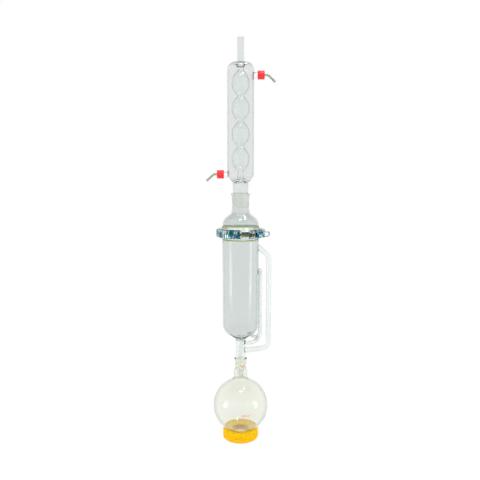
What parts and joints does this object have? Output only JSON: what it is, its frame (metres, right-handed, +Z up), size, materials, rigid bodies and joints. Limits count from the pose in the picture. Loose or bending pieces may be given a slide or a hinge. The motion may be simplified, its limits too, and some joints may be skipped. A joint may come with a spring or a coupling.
{
  "type": "soxhlet extractor",
  "caption": "Glass soxhlet extractor on a support ring: round flask, flanged chamber with siphon and vapour tube, clamped adapter and jacketed bulb condenser with hose ends.",
  "frame": {"origin": "centre of the support ring's underside, on the surface that the apparatus stands on", "axes": "+Z up along the axis of the glassware, -Y to the front where the clamp closes, +X to the side of the vapour tube and the siphon"},
  "size_m": [0.2074, 0.166, 1.1979],
  "materials": {
    "ring_rubber": "matt, granular",
    "flask_glass": "clear, polished",
    "extractor_glass": "clear, polished, ground cone",
    "adapter_glass": "clear, polished, ground socket",
    "condenser_glass": "clear, polished, ground cone",
    "connector_glass": "clear, polished",
    "seal_rubber": "satin",
    "hose_seal_rubber": "satin",
    "clamp_steel": "bright rolled",
    "cap_plastic": "semi-gloss"
  },
  "bodies": {
    "glassware": {"flask_support_ring": "ring_rubber", "round_bottom_flask": "flask_glass", "extractor_body": "extractor_glass", "flange_seal_ring": "seal_rubber", "flange_adapter": "adapter_glass", "bulb_condenser": "condenser_glass", "clamp_rear_band": "clamp_steel", "clamp_rear_claw": "clamp_steel", "clamp_left_hinge_pin": "clamp_steel", "clamp_right_hinge_pin": "clamp_steel"},
    "left_band": {"clamp_left_band": "clamp_steel", "clamp_left_claw": "clamp_steel", "clamp_catch_bracket": "clamp_steel"},
    "right_band": {"clamp_right_band": "clamp_steel", "clamp_right_claw": "clamp_steel", "clamp_lever_bracket": "clamp_steel", "clamp_upper_pivot_rivet": "clamp_steel", "clamp_lower_pivot_rivet": "clamp_steel"},
    "lever": {"clamp_lever": "clamp_steel", "clamp_bolt_pin": "clamp_steel"},
    "bolt": {"clamp_bolt": "clamp_steel", "clamp_cross_nut": "clamp_steel"},
    "upper_seal": {"upper_hose_seal": "hose_seal_rubber"},
    "upper_cap": {"upper_hose_cap": "cap_plastic"},
    "upper_connector": {"upper_hose_connector": "connector_glass"},
    "lower_seal": {"lower_hose_seal": "hose_seal_rubber"},
    "lower_cap": {"lower_hose_cap": "cap_plastic"},
    "lower_connector": {"lower_hose_connector": "connector_glass"}
  },
  "joints": [
    {"name": "left_band_swing", "type": "hinge", "parent": "glassware", "child": "left_band", "pos_m": [-0.06471, 0.03736, 0.6322], "axis": [0, 0, -1], "range_deg": [0, 1.76]},
    {"name": "right_band_swing", "type": "hinge", "parent": "glassware", "child": "right_band", "pos_m": [0.06471, 0.03736, 0.6322], "axis": [0, 0, 1], "range_deg": [0, 1.76]},
    {"name": "clamp_lever_swing", "type": "hinge", "parent": "right_band", "child": "lever", "pos_m": [0.03, -0.078, 0.6322], "axis": [0, 0, -1], "range_deg": [0, 110]},
    {"name": "clamp_bolt_swing", "type": "hinge", "parent": "lever", "child": "bolt", "pos_m": [0.0388, -0.07613, 0.6322], "axis": [0, 0, 1], "range_deg": [0, 154]},
    {"name": "upper_seal_slide", "type": "slide", "parent": "glassware", "child": "upper_seal", "axis": [1, 0, 0], "range_m": [0, 0.009]},
    {"name": "upper_cap_turn", "type": "hinge", "parent": "upper_seal", "child": "upper_cap", "pos_m": [0.0625, 0, 1.0914], "axis": [1, 0, 0], "range_deg": [0, 1080]},
    {"name": "upper_connector_swivel", "type": "hinge", "parent": "upper_seal", "child": "upper_connector", "pos_m": [0.0625, 0, 1.0914], "axis": [1, 0, 0], "continuous": true},
    {"name": "lower_seal_slide", "type": "slide", "parent": "glassware", "child": "lower_seal", "axis": [-1, 0, 0], "range_m": [0, 0.009]},
    {"name": "lower_cap_turn", "type": "hinge", "parent": "lower_seal", "child": "lower_cap", "pos_m": [-0.0625, 0, 0.8054], "axis": [-1, 0, 0], "range_deg": [0, 1080]},
    {"name": "lower_connector_swivel", "type": "hinge", "parent": "lower_seal", "child": "lower_connector", "pos_m": [-0.0625, 0, 0.8054], "axis": [-1, 0, 0], "continuous": true}
  ],
  "couplings": [
    {"joint": "left_band_swing", "follows": "clamp_lever_swing", "ratio": 0.016},
    {"joint": "right_band_swing", "follows": "clamp_lever_swing", "ratio": 0.016},
    {"joint": "clamp_bolt_swing", "follows": "clamp_lever_swing", "ratio": 1.4},
    {"joint": "upper_seal_slide", "follows": "upper_cap_turn", "m_per_rad": 0.000477},
    {"joint": "lower_seal_slide", "follows": "lower_cap_turn", "m_per_rad": 0.000477}
  ]
}
